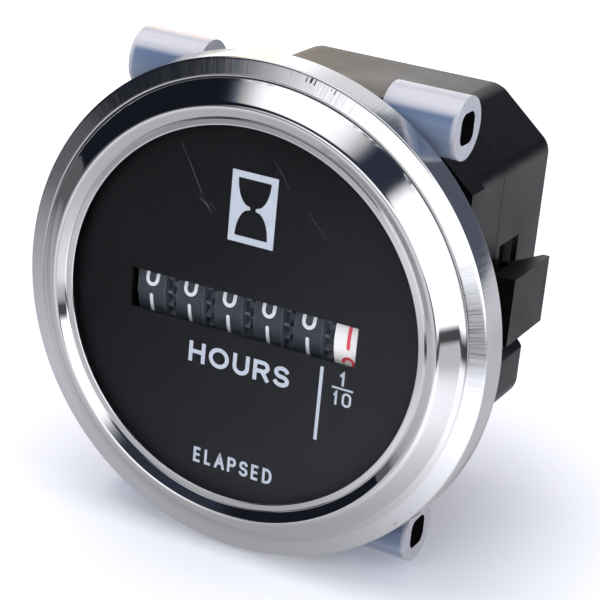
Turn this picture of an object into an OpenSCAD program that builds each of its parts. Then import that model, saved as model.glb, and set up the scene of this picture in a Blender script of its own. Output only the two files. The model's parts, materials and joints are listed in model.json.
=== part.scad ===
// Round panel hour meter with a six drum counter, an octagonal case and a ratchet panel clamp.
// Lengths are millimetres. The panel's front face is the plane y = 0, and +Y goes into the panel.
// The dial faces -Y and +Z is up. Heights in front of the panel are written as h, which is -y.

/* [Bezel] */
// Outside diameter of the bezel
bezel_d = 58; // [56.5:0.5:62]
// Depth of the bezel's straight skirt
skirt_depth = 2.4; // [2:0.1:3]
// Radius of the rounded shoulder
shoulder_r = 1.9; // [1.6:0.1:2.2]
// Rise from the top of the shoulder to the crease
shoulder_rise = 0.2; // [0.1:0.05:0.4]
// Width of the shoulder, from the outside of the bezel to the crease
shoulder_w = 3.3; // [2.8:0.1:3.8]
// Width of the bevel, from the crease to its crown
bevel_w = 2.6; // [2.2:0.1:3]
// Rise of the crown above the crease
crown_rise = 1.7; // [1.5:0.1:2.2]
// Drop from the crown to the lip that holds the lens
lip_drop = 0.5; // [0.3:0.05:0.7]
// Width of the bead, from the crown to the lip
bead_w = 1; // [0.8:0.05:1.2]
// Width of the flat lip round the lens
lip_w = 0.45; // [0.3:0.05:0.6]
// Thickness of the bezel's sheet metal
sheet = 0.5; // [0.4:0.05:0.6]

/* [Dial] */
// Thickness of the lens
lens_t = 0.9; // [0.7:0.05:1.1]
// How far the lens reaches past the crown's radius
lens_reach = 0.9; // [0.5:0.1:1]
// Thickness of the seal between lens and dial
seal_t = 0.35; // [0.2:0.05:0.5]
// Width of the seal
seal_w = 1.6; // [1:0.1:2]
// Thickness of the dial plate
dial_t = 0.5; // [0.4:0.05:0.8]
// How far the dial plate reaches past the lens
dial_reach = 0.6; // [0.2:0.1:0.8]
// Width of the counter window
window_w = 28.5; // [24:0.5:29.5]
// Height of the counter window
window_h = 4.75; // [4:0.25:6]
// Sideways place of the window's centre
window_x = -0.35; // [-1:0.05:1]
// Height of the window's centre and of the drums' axis
window_z = -0.2; // [-1:0.1:1]

/* [Case] */
// Width of the octagonal case
case_w = 39; // [38.6:0.2:39.6]
// Height of the octagonal case
case_h = 43.6; // [43:0.2:44.2]
// Width that each slanted corner takes off the top
corner_w = 7.1; // [6.8:0.1:8]
// Height that each slanted corner takes off the side
corner_h = 6; // [5.8:0.1:8]
// Wall of the case
wall = 1.6; // [1.4:0.1:1.7]
// How far the bezel laps past the spigot that locates in the panel hole
panel_lap = 3.6; // [3.3:0.05:3.8]
// Length of the spigot behind the bezel
spigot_len = 1.2; // [1:0.05:1.25]
// Gap between the spigot and the bezel's rolled rim
rim_gap = 0.9; // [0.85:0.05:1.3]
// Thickness of the front flange inside the bezel
flange_t = 1.7; // [1.2:0.1:2]
// Room between the flange and the bezel's skirt
flange_gap = 0.2; // [0.1:0.05:0.3]
// Margin of the dial's seat outside the dial plate
seat_margin = 0.6; // [0.2:0.1:0.7]
// How far the neck behind the bezel is set in from the octagon
neck_inset = 1; // [0.6:0.1:1.1]
// Distance from the panel to the front of the octagon
body_front = 11.5; // [10.5:0.25:12]
// Distance from the panel to the seam between the shells
seam_y = 19.5; // [18.5:0.25:21]
// Gap that shows at the seam
seam_gap = 0.12; // [0.05:0.01:0.2]
// Distance from the panel to the back of the case
case_depth = 33.6; // [33:0.2:36]
// Wall of the lip with which the rear shell enters the front shell
lap_t = 1.2; // [1:0.1:1.2]
// Clearance round pieces that are pushed together
slip = 0.05; // [0.02:0.01:0.1]

/* [Rack and groove] */
// Distance from the seam to the rack pocket
pocket_offset = 1.3; // [1:0.1:1.6]
// Length of the rack pocket
pocket_len = 5.9; // [5.4:0.1:6.4]
// Height of the rack pocket
pocket_h = 12.4; // [10:0.2:13]
// Depth of the rack pocket
pocket_depth = 1; // [0.8:0.05:1.2]
// Spacing of the rack teeth
rack_pitch = 1.3; // [1:0.05:1.6]
// Depth of the tooth crests below the side of the case
crest_depth = 0.3; // [0.2:0.05:0.5]
// Height of the groove below the arms
groove_h = 3.6; // [2:0.2:4]
// Depth of the groove
groove_depth = 0.9; // [0.5:0.05:1]
// Height of the groove's lower edge
groove_z = -10.4; // [-11:0.1:-10]

/* [Panel clamp] */
// Clearance between the clamp and the case
clamp_gap = 0.35; // [0.2:0.05:0.5]
// Wall of the clamp's frame
frame_t = 1.6; // [1.4:0.1:2]
// Depth of the frame's bars
frame_depth = 3.4; // [3:0.1:3.6]
// Width of the square pegs
peg_w = 3.5; // [3:0.1:3.8]
// Corner radius of the pegs
peg_round = 1.1; // [0.8:0.1:1.3]
// Distance from the panel to the pegs' axes
peg_y = 4.8; // [4.8:0.05:5]
// How far the middle of a bar bows back from its pegs
bar_bow = 2; // [1.5:0.1:2.2]
// Length of the sleeves
sleeve_len = 8.8; // [8:0.1:9.4]
// Distance from the middle to a sleeve's outer end
sleeve_reach = 20; // [19.5:0.25:21]
// Outside diameter of the sleeves
sleeve_d = 7.1; // [6.6:0.1:7.1]
// Height of the ratchet arms
arm_h = 8.2; // [7:0.2:9]
// Thickness of an arm's spring leaf
leaf_t = 1.2; // [1:0.1:1.4]
// How far an arm's finger tab stands out from the case
tab_out = 3.85; // [3.2:0.05:4.4]
// Distance from the panel to the front of the finger tab
tab_front = 16.8; // [16:0.2:17.4]
// Length of the finger tab
tab_len = 10.8; // [10:0.2:12]
// Thickness of the finger tab at its tip
tab_tip = 0.8; // [0.6:0.1:1]
// Distance from the tab's front to the pawl
pawl_offset = 4.6; // [4.2:0.1:5]
// Clearance of the pawl, drawn lifted, from the side of the case
pawl_gap = 0.15; // [0.1:0.05:0.2]

/* [Counter] */
// Diameter of the number drums
drum_d = 12; // [11.6:0.1:12.2]
// Spacing of the drums
drum_pitch = 5; // [4.95:0.01:5]
// Width of a drum's number rim
rim_w = 3.5; // [3.3:0.05:3.5]
// Wall of a drum's number rim
rim_t = 0.9; // [0.6:0.05:0.9]
// Width of a drum's gear disc and of its carry disc past the rim
disc_w = 0.7; // [0.6:0.02:0.7]
// Gap between the dial plate and the drums
drum_gap = 0.45; // [0.3:0.05:0.7]
// Diameter of the drum shaft
drum_shaft_d = 1.6; // [1.2:0.1:1.8]
// Diameter of the pinion shaft
pinion_shaft_d = 1; // [0.8:0.05:1.2]
// Module of the gear teeth
tooth_module = 0.5; // [0.49:0.005:0.51]
// Direction from the drums' axis to the carry pinions' axis
pinion_angle = -35; // [-45:1:-30]
// Direction from the drums' axis to the idler's axis
idler_angle = 60; // [56:1:62]
// Radial clearance of turning pieces on their shafts
running = 0.04; // [0.02:0.01:0.06]
// Width of the carry pinions
pinion_w = 1.24; // [1:0.02:1.3]
// Thickness of the counter frame's plates
plate_t = 0.75; // [0.6:0.05:0.8]
// Thickness of the counter frame's mounting plate
mount_t = 1.2; // [1:0.1:1.4]
// Distance from the middle to the inside of an end plate
plate_in = 15.75; // [15.7:0.05:15.8]

/* [Motor] */
// Diameter of the rotor shaft
rotor_shaft_d = 0.9; // [0.8:0.05:1]
// Diameter of the rotor magnet
magnet_d = 5.2; // [4.6:0.1:5.4]
// Length of the rotor magnet
magnet_len = 4; // [3:0.2:4.4]
// Air gap between the magnet and the stator
air_gap = 0.4; // [0.3:0.05:0.5]
// Thickness of the stator plate and of the coil core
stator_t = 1; // [0.8:0.05:1.2]
// Width of the stator's legs and of the coil core
leg_w = 2; // [1.8:0.1:2.2]
// Outside diameter of the coil
coil_d = 5.2; // [4.4:0.1:5.4]
// Diameter of the bobbin's flanges
bobbin_d = 5.8; // [5.5:0.1:5.8]
// Diameter of the screw shanks
screw_d = 0.96; // [0.8:0.04:1]

/* [Circuit board] */
// Width of the circuit board
board_w = 28; // [27:0.25:28.5]
// Height of the circuit board
board_h = 30; // [29:0.25:30.5]
// Thickness of the circuit board
board_t = 1.2; // [1:0.1:1.6]
// Room between the board and the back wall
board_room = 3.8; // [3.4:0.1:4.2]
// Sideways place of the board's posts
post_x = 11; // [10:0.25:11.5]
// Height of the board's posts
post_z = 12; // [11:0.25:12.5]
// Diameter of the board's posts
post_d = 4.4; // [4:0.1:5]

/* [Terminals] */
// Width of a blade terminal
blade_w = 6.3; // [4.8:0.1:6.4]
// Thickness of a blade terminal
blade_t = 0.8; // [0.5:0.05:0.9]
// Length of a blade behind the case
blade_out = 8; // [7:0.25:9]
// Distance from the middle to each blade
blade_x = 7; // [6:0.25:8]

/* [Hidden] */
$fn = 96;
arc_steps = 12;
cut = 1;

// Heights in front of the panel, from the shoulder inwards
shoulder_top = skirt_depth + shoulder_r;
crease_h = shoulder_top + shoulder_rise;
crown_h = crease_h + crown_rise;
lip_h = crown_h - lip_drop;
lens_front = lip_h - sheet;
lens_back = lens_front - lens_t;
dial_front = lens_back - seal_t;
dial_back = dial_front - dial_t;

// Radii of the bezel and of what it holds
bezel_r = bezel_d / 2;
crease_r = bezel_r - shoulder_w;
crown_r = crease_r - bevel_w;
view_r = crown_r - bead_w - lip_w;
spigot_r = bezel_r - panel_lap;
lens_r = crown_r + lens_reach;
dial_r = lens_r + dial_reach;
bevel_start = 30;
bevel_x = bevel_w / cos(bevel_start);
bevel_y = crown_rise / (1 - sin(bevel_start));

// Half sizes of the octagon, and the places of its shells along y
half_w = case_w / 2;
half_h = case_h / 2;
ledge_y = body_front + wall;
frame_back = ledge_y + mount_t;
back_wall_y = case_depth - wall;
pocket_y = seam_y + pocket_offset;
groove_top = groove_z + groove_h;
tooth_count = floor(pocket_len / rack_pitch);
crest_share = 0.7;
foot_share = 0.9;

// Clamp
peg_z = half_h + clamp_gap + peg_w / 2;
sleeve_in = sleeve_reach - sleeve_len;
ring_front = peg_y - peg_w / 2 + bar_bow;
ring_back = ring_front + frame_depth;
arm_x = half_w + clamp_gap;
tab_x = half_w + tab_out;
tab_back = tab_front + tab_len;
pawl_y = tab_front + pawl_offset;
pawl_x = half_w + pawl_gap;
tab_relief = 0.75;
pawl_len = 1.8;
pawl_flat = [0.2, 0.4];
pawl_back = 1.2;

// Counter: tooth counts and axes, each axis as [y, z]
drum_teeth = 20;
pinion_teeth = 8;
idler_teeth = 10;
wheel_teeth = 24;
rotor_teeth = 8;
rotor_angle = 0;
tip_height = 0.8;
root_depth = 1.1;
root_half = 0.27;
tip_half = 0.1;
drum_count = 6;
drum_r = drum_d / 2;
drum_axis = [drum_gap + drum_r - dial_back, window_z];
pinion_axis = step_from(drum_axis, mesh_dist(drum_teeth, pinion_teeth), pinion_angle);
idler_axis = step_from(drum_axis, mesh_dist(drum_teeth, idler_teeth), idler_angle);
rotor_axis = step_from(idler_axis, mesh_dist(wheel_teeth, rotor_teeth), rotor_angle);
first_drum_x = -(drum_count - 1) / 2 * drum_pitch;
half_rim = rim_w / 2;
half_drum = half_rim + disc_w;
hub_wall = 1;
hub_r = drum_shaft_d / 2 + hub_wall;
web_t = 0.9;
carry_drop = 0.9;
carry_r = drum_teeth * tooth_module / 2 - carry_drop;
carry_ring_t = 0.7;
carry_tooth_h = 0.3;
carry_tooth_w = 0.6;
gear_gap = 0.1;
last_drum_end = first_drum_x + (drum_count - 1) * drum_pitch + half_drum;
idler_in = last_drum_end - disc_w + gear_gap;
wheel_in = last_drum_end + gear_gap;
wheel_w = 0.5;
plate_out = plate_in + plate_t;
plate_edge = 2.4;
post_clear = 0.02;

// Motor, behind the counter on its right
bracket_x = 7.4;
stator_x = 10.4;
stator_back = 25;
pole_half = 3.3;
slot_margin = 0.6;
stator_z = rotor_axis[1] - pole_half;
stator_top = rotor_axis[1] + pole_half;
leg_gap = 0.7;
leg_front = frame_back + leg_gap;
core_z = -9;
hole_z = -1.5;
magnet_in = stator_x + stator_t / 2 - magnet_len / 2;
hole_pos = [[leg_front + leg_w / 2, hole_z], [stator_back - leg_w / 2, hole_z]];
boss_r = 1.1;
head_t = 0.6;
head_r = 0.9;
bobbin_gap = 0.2;
bobbin_front = leg_front + leg_w + bobbin_gap;
bobbin_back = stator_back - leg_w - bobbin_gap;
flange_w = 0.6;
core_axis = [stator_x + stator_t * 1.5, core_z + leg_w / 2];
core_tube_r = 1.7;

// Board
board_back = back_wall_y - board_room;
board_front = board_back - board_t;
post_hole_r = 0.8;
board_head_t = 0.9;
board_head_r = 1.5;
screw_bite = 2.4;
crystal_r = 1;
crystal_x = [-12, -6];
crystal_z = 6;
chip_size = [6, 1.6, 5];
chip_at = [-3, -4];
capacitor_r = 2.5;
capacitor_h = 5;
capacitor_at = [-9, -7];

// Terminals
blade_shoulder_len = 1.6;
blade_shoulder_w = 1;
tip_to_hole = 3;
blade_hole_r = 0.9;

// Distance between the axes of two meshed gears
function mesh_dist(n1, n2) = tooth_module * (n1 + n2) / 2;

// The point at a distance and direction from an axis, in the y-z plane
function step_from(axis, dist, angle) = [axis[0] + dist * cos(angle), axis[1] + dist * sin(angle)];

// Points along an elliptical arc
function arc(centre, rx, ry, a0, a1) = [
    for (i = [0 : arc_steps])
        let (a = a0 + (a1 - a0) * i / arc_steps)
            [centre[0] + rx * cos(a), centre[1] + ry * sin(a)]
];

// Outline of a spur gear whose first tooth points along the phase angle
function gear_points(n, phase) =
    let (tip_r = tooth_module * (n / 2 + tip_height), root_r = tooth_module * (n / 2 - root_depth))
    [
        for (i = [0 : n - 1])
            for (corner = [[root_r, -root_half], [tip_r, -tip_half], [tip_r, tip_half], [root_r, root_half]])
                let (a = phase + (i + corner[1]) * 360 / n)
                    [corner[0] * cos(a), corner[0] * sin(a)]
    ];

// A profile of [radius, h] turned about the meter's axis
module turned(points) {
    rotate([90, 0, 0])
        rotate_extrude()
            polygon(points);
}

// A shape in x-z, drawn out from one y to another
module along_y(y0, y1) {
    translate([0, y1, 0])
        rotate([90, 0, 0])
            linear_extrude(y1 - y0)
                children();
}

// A shape in y-z, drawn out from one x to another
module along_x(x0, x1) {
    translate([x0, 0, 0])
        rotate([90, 0, 90])
            linear_extrude(x1 - x0)
                children();
}

// A round rod along x, centred on an axis given as [y, z]
module rod_x(x0, x1, r, axis) {
    along_x(x0, x1)
        translate(axis)
            circle(r);
}

// A round rod along y, centred on [x, z]
module rod_y(y0, y1, r, centre) {
    along_y(y0, y1)
        translate(centre)
            circle(r);
}

// The case's octagon grown by a margin on every side
module octagon(margin) {
    w = half_w + margin;
    h = half_h + margin;
    spread = margin * (corner_w + corner_h - norm([corner_w, corner_h]));
    x = w - corner_w - spread / corner_h;
    y = h - corner_h - spread / corner_w;
    polygon([[w, y], [x, h], [-x, h], [-w, y], [-w, -y], [-x, -h], [x, -h], [w, -y]]);
}

// A square with rounded corners
module rounded_square(side, r) {
    inner = side - 2 * r;
    square([side, inner], center = true);
    square([inner, side], center = true);
    for (x = [-1, 1], y = [-1, 1])
        translate([x * inner / 2, y * inner / 2])
            circle(r);
}

// Both mirror halves of a shape on the right side
module both_sides() {
    children();
    mirror([1, 0, 0])
        children();
}

module bezel() {
    outer = concat(
        [[spigot_r + rim_gap, 0], [bezel_r, 0]],
        arc([bezel_r - shoulder_r, skirt_depth], shoulder_r, shoulder_r, 0, 90),
        arc([crown_r, crown_h - bevel_y], bevel_x, bevel_y, bevel_start, 90),
        arc([crown_r, lip_h], bead_w, lip_drop, 90, 180),
        [[view_r, lip_h], [view_r, lens_front]]
    );
    inner = concat(
        [[view_r + lip_w + sheet, lens_front]],
        arc([crown_r, crown_h - bevel_y], bevel_x - sheet, bevel_y - sheet, 90, bevel_start),
        arc([bezel_r - shoulder_r, skirt_depth], shoulder_r - sheet, shoulder_r - sheet, 90, 0),
        [[bezel_r - sheet, sheet], [spigot_r + rim_gap, sheet]]
    );
    color("silver")
        turned(concat(outer, inner));
}

module lens() {
    color("white", 0.2)
        turned([[0, lens_back], [lens_r, lens_back], [lens_r, lens_front], [0, lens_front]]);
}

module lens_seal() {
    inside = lens_r - seal_w;
    color("black")
        turned([[inside, dial_front], [lens_r, dial_front], [lens_r, lens_back], [inside, lens_back]]);
}

module dial_plate() {
    color("#1E2024")
        difference() {
            rod_y(-dial_front, -dial_back, dial_r, [0, 0]);
            along_y(-dial_front - cut, -dial_back + cut)
                translate([window_x, window_z])
                    square([window_w, window_h], center = true);
        }
}

module front_case() {
    flange_r = bezel_r - sheet - flange_gap;
    flange_front = sheet + flange_t;
    seat_r = dial_r + seat_margin;
    color("#2A2A2D")
        difference() {
            union() {
                turned([
                    [0, -spigot_len], [spigot_r, -spigot_len], [spigot_r, sheet], [flange_r, sheet],
                    [flange_r, flange_front], [seat_r, flange_front], [seat_r, dial_back], [0, dial_back]
                ]);
                along_y(0, ledge_y)
                    octagon(-neck_inset);
                along_y(body_front, seam_y - seam_gap)
                    octagon(0);
            }
            along_y(-dial_back - cut, ledge_y + cut)
                octagon(-neck_inset - wall);
            along_y(ledge_y, seam_y + cut)
                octagon(-wall);
        }
}

// Pocket in the right side with the teeth of the rack standing in it
module rack_pocket() {
    floor_x = half_w - pocket_depth;
    crest_x = half_w - crest_depth;
    translate([0, 0, -pocket_h / 2])
        linear_extrude(pocket_h)
            difference() {
                translate([floor_x, pocket_y])
                    square([pocket_depth + cut, pocket_len]);
                for (i = [0 : tooth_count - 1])
                    translate([0, pocket_y + i * rack_pitch])
                        polygon([
                            [floor_x - cut, 0], [floor_x, 0], [crest_x, crest_share * rack_pitch],
                            [floor_x, foot_share * rack_pitch],
                            [floor_x - cut, foot_share * rack_pitch]
                        ]);
            }
}

module side_groove() {
    along_y(seam_y - cut, case_depth + cut)
        polygon([
            [half_w - groove_depth, groove_z + groove_depth], [half_w + cut, groove_z - cut],
            [half_w + cut, groove_top], [half_w - groove_depth, groove_top]
        ]);
}

module rear_case() {
    color("#2A2A2D")
        difference() {
            union() {
                difference() {
                    union() {
                        along_y(seam_y, case_depth)
                            octagon(0);
                        along_y(frame_back, seam_y + cut)
                            octagon(-wall - slip);
                    }
                    along_y(frame_back - cut, back_wall_y)
                        octagon(-wall - slip - lap_t);
                }
                for (x = [-post_x, post_x], z = [-post_z, post_z])
                    rod_y(board_back, back_wall_y + cut / 2, post_d / 2, [x, z]);
            }
            for (x = [-post_x, post_x], z = [-post_z, post_z])
                rod_y(board_back - cut, back_wall_y - cut / 2, post_hole_r, [x, z]);
            for (x = [-blade_x, blade_x])
                along_y(back_wall_y - cut, case_depth + cut)
                    translate([x, 0])
                        square([blade_t + 2 * slip, blade_w + 2 * slip], center = true);
            both_sides()
                rack_pocket();
            both_sides()
                side_groove();
        }
}

// Right ratchet arm: spring leaf, finger tab and pawl in one outline
module clamp_arm() {
    translate([0, 0, -arm_h / 2])
        linear_extrude(arm_h)
            polygon([
                [arm_x, ring_front], [arm_x, tab_front], [arm_x + tab_relief, tab_front + tab_relief],
                [arm_x + tab_relief, pawl_y], [pawl_x, pawl_y + pawl_flat[0] * pawl_len],
                [pawl_x, pawl_y + pawl_flat[1] * pawl_len],
                [arm_x + pawl_back * tab_relief, pawl_y + pawl_len],
                [tab_x - tab_tip, tab_back], [tab_x, tab_back], [tab_x, tab_front],
                [arm_x + leaf_t, tab_front], [arm_x + leaf_t, ring_front]
            ]);
}

// Upper bar, bowed back in its middle, with a peg at each end
module clamp_bar() {
    low = half_h + clamp_gap;
    front = peg_y - peg_w / 2;
    translate([0, 0, low])
        linear_extrude(peg_w)
            polygon([
                [-sleeve_in, front], [0, front + bar_bow], [sleeve_in, front],
                [sleeve_in, front + peg_w], [0, front + peg_w + bar_bow], [-sleeve_in, front + peg_w]
            ]);
    both_sides()
        along_x(sleeve_in - cut, sleeve_reach)
            translate([peg_y, peg_z])
                rounded_square(peg_w, peg_round);
}

module panel_clamp() {
    color("#232326") {
        along_y(ring_front, ring_back)
            difference() {
                octagon(clamp_gap + frame_t);
                octagon(clamp_gap);
            }
        clamp_bar();
        mirror([0, 0, 1])
            clamp_bar();
        both_sides()
            clamp_arm();
    }
}

// Soft tube over one peg, notched where it sits over the clamp's frame and the case's corner
module sleeve(side, level) {
    color("#C8CFE0", 0.7)
        to_corner(side, level)
            difference() {
                rod_x(sleeve_in + slip, sleeve_reach, sleeve_d / 2, [peg_y, peg_z]);
                along_x(sleeve_in - cut, sleeve_reach + cut)
                    translate([peg_y, peg_z])
                        rounded_square(peg_w + 2 * post_clear, peg_round);
                along_y(peg_y - sleeve_d, peg_y + sleeve_d)
                    octagon(clamp_gap);
                along_y(ring_front - slip, peg_y + sleeve_d)
                    octagon(clamp_gap + frame_t + slip);
            }
}

// Turns a shape at the upper right into one of the four corners
module to_corner(side, level) {
    mirror([side < 0 ? 1 : 0, 0, 0])
        mirror([0, 0, level < 0 ? 1 : 0])
            children();
}

module sleeve_upper_left() {
    sleeve(-1, 1);
}

module sleeve_upper_right() {
    sleeve(1, 1);
}

module sleeve_lower_left() {
    sleeve(-1, -1);
}

module sleeve_lower_right() {
    sleeve(1, -1);
}

// End plate that carries the shafts, seen along x
module end_plate() {
    polygon([
        drum_axis + [-plate_edge, -plate_edge], drum_axis + [-plate_edge, plate_edge],
        idler_axis + [-plate_edge, plate_edge], [ledge_y + cut / 2, idler_axis[1] + plate_edge],
        [ledge_y + cut / 2, pinion_axis[1] - plate_edge], pinion_axis + [-plate_edge, -plate_edge]
    ]);
}

module counter_frame() {
    color("#E4E2DA")
        difference() {
            union() {
                difference() {
                    along_y(ledge_y, frame_back)
                        octagon(-wall - slip);
                    along_y(ledge_y - cut, frame_back + cut)
                        translate([bracket_x + plate_t, stator_z - slot_margin])
                            square([plate_in - bracket_x - plate_t, 2 * (pole_half + slot_margin)]);
                }
                along_x(plate_in, plate_out)
                    end_plate();
                along_x(-plate_out, -plate_in)
                    end_plate();
                along_x(plate_in, plate_out)
                    translate([ledge_y, rotor_axis[1] - plate_edge])
                        square([rotor_axis[0] + plate_edge - ledge_y, 2 * plate_edge]);
                along_x(bracket_x, bracket_x + plate_t)
                    translate([ledge_y, core_z])
                        square([stator_back - ledge_y, stator_top - core_z]);
                for (p = hole_pos)
                    rod_x(bracket_x + plate_t / 2, stator_x, boss_r, p);
            }
            rod_x(-plate_out - cut, plate_out + cut, drum_shaft_d / 2 + post_clear, drum_axis);
            rod_x(-plate_out - cut, plate_out + cut, pinion_shaft_d / 2 + post_clear, pinion_axis);
            rod_x(plate_in - cut, plate_out + cut, pinion_shaft_d / 2 + post_clear, idler_axis);
            rod_x(bracket_x - cut, plate_out + cut, rotor_shaft_d / 2 + running, rotor_axis);
            for (p = hole_pos)
                rod_x(bracket_x + plate_t, stator_x + cut, screw_d / 2 + post_clear, p);
        }
}

module drum_shaft() {
    color("silver")
        rod_x(-plate_out, plate_out, drum_shaft_d / 2, drum_axis);
}

// Number drum with its gear disc on the right and its carry ring on the left
module drum(index, tone) {
    bore = drum_shaft_d / 2 + running;
    phase = index == drum_count - 1 ? idler_angle : pinion_angle;
    web_x = half_rim - web_t;
    color(tone)
        translate([first_drum_x + index * drum_pitch, drum_axis[0], drum_axis[1]])
            rotate([90, 0, 90]) {
                rotate_extrude()
                    polygon([
                        [bore, -half_drum], [hub_r, -half_drum], [hub_r, web_x],
                        [carry_r - carry_ring_t, web_x], [carry_r - carry_ring_t, -half_drum],
                        [carry_r, -half_drum], [carry_r, web_x], [drum_r - rim_t, web_x],
                        [drum_r - rim_t, -half_rim], [drum_r, -half_rim], [drum_r, half_rim],
                        [bore, half_rim]
                    ]);
                translate([0, 0, half_rim])
                    linear_extrude(disc_w)
                        difference() {
                            polygon(gear_points(drum_teeth, phase));
                            circle(bore);
                        }
                for (a = [0, 360 / drum_teeth])
                    rotate([0, 0, a])
                        translate([carry_r - carry_ring_t / 2, -carry_tooth_w / 2, -half_drum])
                            cube([carry_ring_t / 2 + carry_tooth_h, carry_tooth_w, disc_w]);
            }
}

module drum_1() {
    drum(0, "#2B2D31");
}

module drum_2() {
    drum(1, "#2B2D31");
}

module drum_3() {
    drum(2, "#2B2D31");
}

module drum_4() {
    drum(3, "#2B2D31");
}

module drum_5() {
    drum(4, "#2B2D31");
}

module drum_6() {
    drum(5, "#E8E6E8");
}

module pinion_shaft() {
    color("silver")
        rod_x(-plate_out, plate_out, pinion_shaft_d / 2, pinion_axis);
}

// Carry pinion between a drum and the next one on its right
module carry_pinion(index) {
    middle = first_drum_x + (index + 0.5) * drum_pitch;
    color("#D8D6CC")
        along_x(middle - pinion_w / 2, middle + pinion_w / 2)
            translate(pinion_axis)
                difference() {
                    polygon(gear_points(pinion_teeth, pinion_angle + 180 + 180 / pinion_teeth));
                    circle(pinion_shaft_d / 2 + running);
                }
}

module carry_pinion_1() {
    carry_pinion(0);
}

module carry_pinion_2() {
    carry_pinion(1);
}

module carry_pinion_3() {
    carry_pinion(2);
}

module carry_pinion_4() {
    carry_pinion(3);
}

module carry_pinion_5() {
    carry_pinion(4);
}

module idler_gear() {
    color("#D8D6CC")
        difference() {
            union() {
                along_x(idler_in, wheel_in)
                    translate(idler_axis)
                        polygon(gear_points(idler_teeth, idler_angle + 180 + 180 / idler_teeth));
                along_x(wheel_in, wheel_in + wheel_w)
                    translate(idler_axis)
                        polygon(gear_points(wheel_teeth, rotor_angle));
            }
            rod_x(idler_in - cut, wheel_in + wheel_w + cut, pinion_shaft_d / 2 + running, idler_axis);
        }
}

module idler_post() {
    color("silver")
        rod_x(idler_in, plate_out, pinion_shaft_d / 2, idler_axis);
}

module rotor_shaft() {
    color("#D8D6CC") {
        rod_x(bracket_x, plate_out, rotor_shaft_d / 2, rotor_axis);
        along_x(wheel_in - gear_gap, wheel_in + wheel_w + gear_gap)
            translate(rotor_axis)
                polygon(gear_points(rotor_teeth, rotor_angle + 180 + 180 / rotor_teeth));
    }
}

module rotor_magnet() {
    color("#3A3A3C")
        along_x(magnet_in, magnet_in + magnet_len)
            translate(rotor_axis)
                difference() {
                    circle(magnet_d / 2);
                    circle(rotor_shaft_d / 2 + post_clear);
                }
}

module stator() {
    pole_front = rotor_axis[0] - pole_half;
    color("#9A9CA0")
        along_x(stator_x, stator_x + stator_t)
            difference() {
                union() {
                    translate([pole_front, stator_z])
                        square([stator_back - pole_front, stator_top - stator_z]);
                    for (y = [leg_front, stator_back - leg_w])
                        translate([y, core_z])
                            square([leg_w, stator_z - core_z + cut]);
                }
                translate(rotor_axis)
                    circle(magnet_d / 2 + air_gap);
                for (p = hole_pos)
                    translate(p)
                        circle(screw_d / 2 + slip);
            }
}

module coil_core() {
    color("#9A9CA0")
        translate([stator_x + stator_t, leg_front, core_z])
            cube([stator_t, stator_back - leg_front, leg_w]);
}

module coil_bobbin() {
    color("#E4E2DA")
        difference() {
            union() {
                rod_y(bobbin_front, bobbin_front + flange_w, bobbin_d / 2, core_axis);
                rod_y(bobbin_back - flange_w, bobbin_back, bobbin_d / 2, core_axis);
                rod_y(bobbin_front, bobbin_back, core_tube_r, core_axis);
            }
            along_y(bobbin_front - cut, bobbin_back + cut)
                translate(core_axis)
                    square([stator_t + 2 * slip, leg_w + 2 * slip], center = true);
        }
}

module coil_winding() {
    color("#B86A32")
        along_y(bobbin_front + flange_w + slip, bobbin_back - flange_w - slip)
            translate(core_axis)
                difference() {
                    circle(coil_d / 2);
                    circle(core_tube_r + post_clear);
                }
}

module stator_screws() {
    head_x = stator_x + stator_t;
    color("silver")
        for (p = hole_pos) {
            rod_x(bracket_x + 2 * plate_t, head_x + head_t / 2, screw_d / 2, p);
            rod_x(head_x, head_x + head_t, head_r, p);
        }
}

module circuit_board() {
    color("#2E6B3C")
        difference() {
            along_y(board_front, board_back)
                square([board_w, board_h], center = true);
            for (x = [-post_x, post_x], z = [-post_z, post_z])
                rod_y(board_front - cut, board_back + cut, post_hole_r, [x, z]);
        }
}

module board_screws() {
    color("silver")
        for (x = [-post_x, post_x], z = [-post_z, post_z]) {
            rod_y(board_front - board_head_t, board_front, board_head_r, [x, z]);
            rod_y(board_front - board_head_t / 2, board_back + screw_bite, post_hole_r - post_clear, [x, z]);
        }
}

module crystal() {
    color("silver")
        rod_x(crystal_x[0], crystal_x[1], crystal_r, [board_front - crystal_r, crystal_z]);
}

module chip() {
    color("#232326")
        translate([chip_at[0], board_front - chip_size[1], chip_at[1]])
            cube(chip_size);
}

module capacitor() {
    color("#3A4A66")
        rod_y(board_front - capacitor_h, board_front, capacitor_r, capacitor_at);
}

// Blade terminal: flat blade with a hole, and a shoulder against the back wall
module terminal(x) {
    color("#C9B27A")
        translate([x - blade_t / 2, 0, 0])
            along_x(0, blade_t)
                difference() {
                    union() {
                        translate([board_back, -blade_w / 2])
                            square([case_depth + blade_out - board_back, blade_w]);
                        translate([back_wall_y - blade_shoulder_len, -blade_w / 2 - blade_shoulder_w])
                            square([blade_shoulder_len, blade_w + 2 * blade_shoulder_w]);
                    }
                    translate([case_depth + blade_out - tip_to_hole, 0])
                        circle(blade_hole_r);
                }
}

module terminal_left() {
    terminal(-blade_x);
}

module terminal_right() {
    terminal(blade_x);
}

bezel();
lens();
lens_seal();
dial_plate();
front_case();
rear_case();
panel_clamp();
sleeve_upper_left();
sleeve_upper_right();
sleeve_lower_left();
sleeve_lower_right();
counter_frame();
drum_shaft();
drum_1();
drum_2();
drum_3();
drum_4();
drum_5();
drum_6();
pinion_shaft();
carry_pinion_1();
carry_pinion_2();
carry_pinion_3();
carry_pinion_4();
carry_pinion_5();
idler_gear();
idler_post();
rotor_shaft();
rotor_magnet();
stator();
coil_core();
coil_bobbin();
coil_winding();
stator_screws();
circuit_board();
board_screws();
crystal();
chip();
capacitor();
terminal_left();
terminal_right();
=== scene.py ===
import json
import math

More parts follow.
